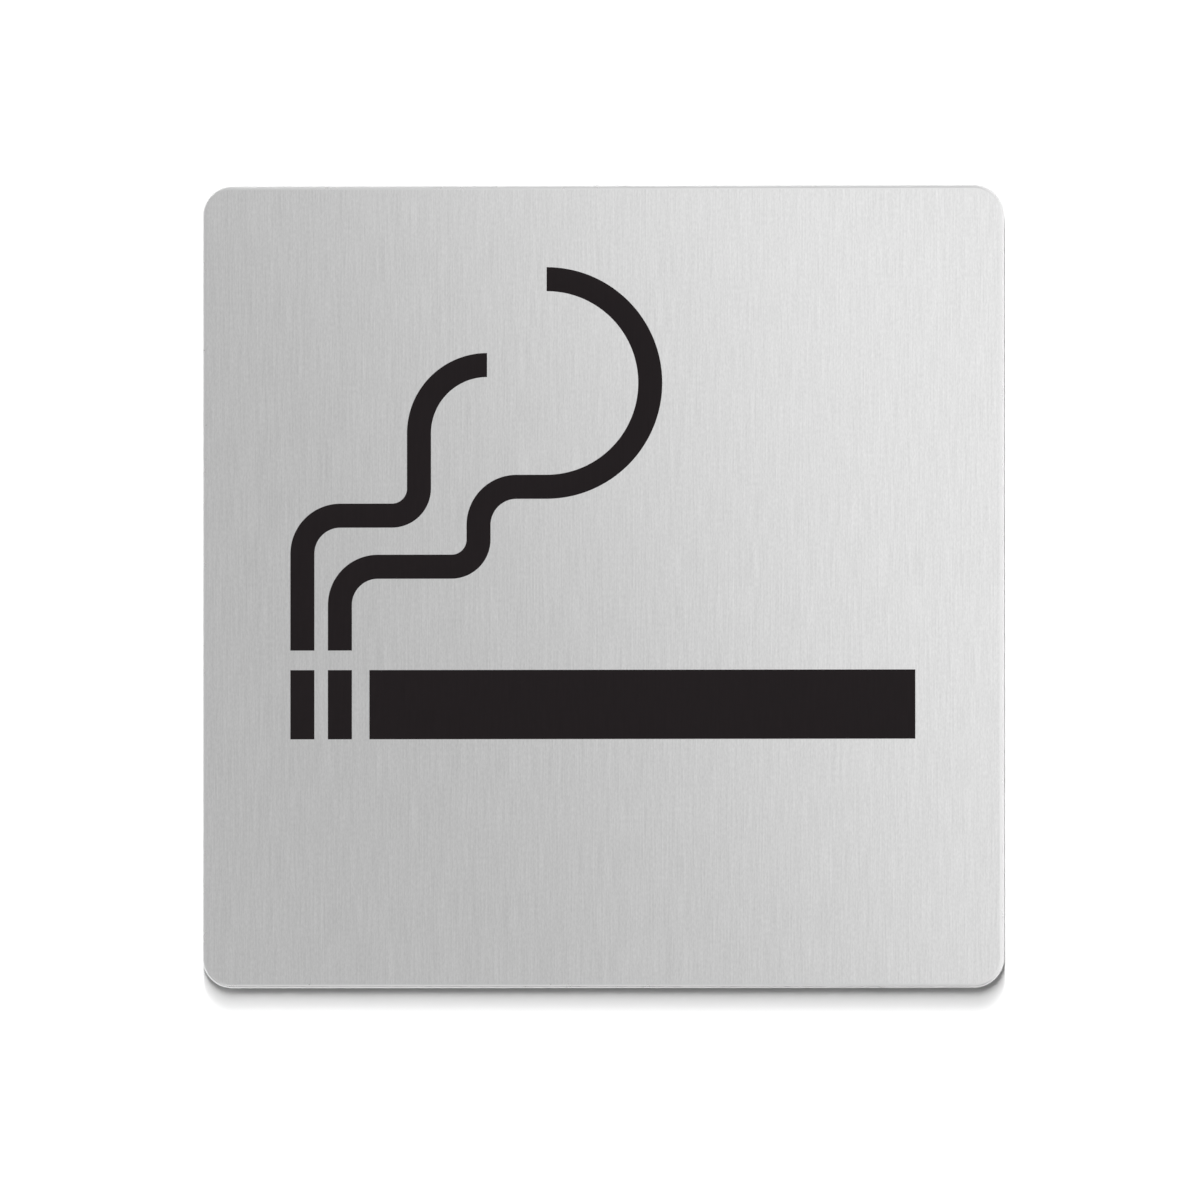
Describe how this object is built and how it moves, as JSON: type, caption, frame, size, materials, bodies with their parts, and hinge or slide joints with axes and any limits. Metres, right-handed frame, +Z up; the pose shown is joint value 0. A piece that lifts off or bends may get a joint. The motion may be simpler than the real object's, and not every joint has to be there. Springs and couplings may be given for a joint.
{
  "type": "smoking permitted sign",
  "caption": "Square brushed steel wall sign with a printed smoking permitted pictogram, fixed by an adhesive pad on its back.",
  "frame": {"origin": "middle of the adhesive face that meets the wall", "axes": "+Z up, +X to the right as a reader sees the sign, -Y out of the printed front, +Y into the wall"},
  "size_m": [0.08, 0.0022, 0.08],
  "materials": {
    "brushed_steel": "fine upright brushing on the front, plain mill finish on the back",
    "foam_adhesive": "soft off-white acrylic foam",
    "black_ink": "satin black screen print"
  },
  "bodies": {
    "root": {"plate": "brushed_steel", "adhesive_pad": "foam_adhesive", "cigarette_print": "black_ink", "outer_tip_print": "black_ink", "inner_tip_print": "black_ink", "short_smoke_print": "black_ink", "long_smoke_print": "black_ink"}
  },
  "joints": []
}
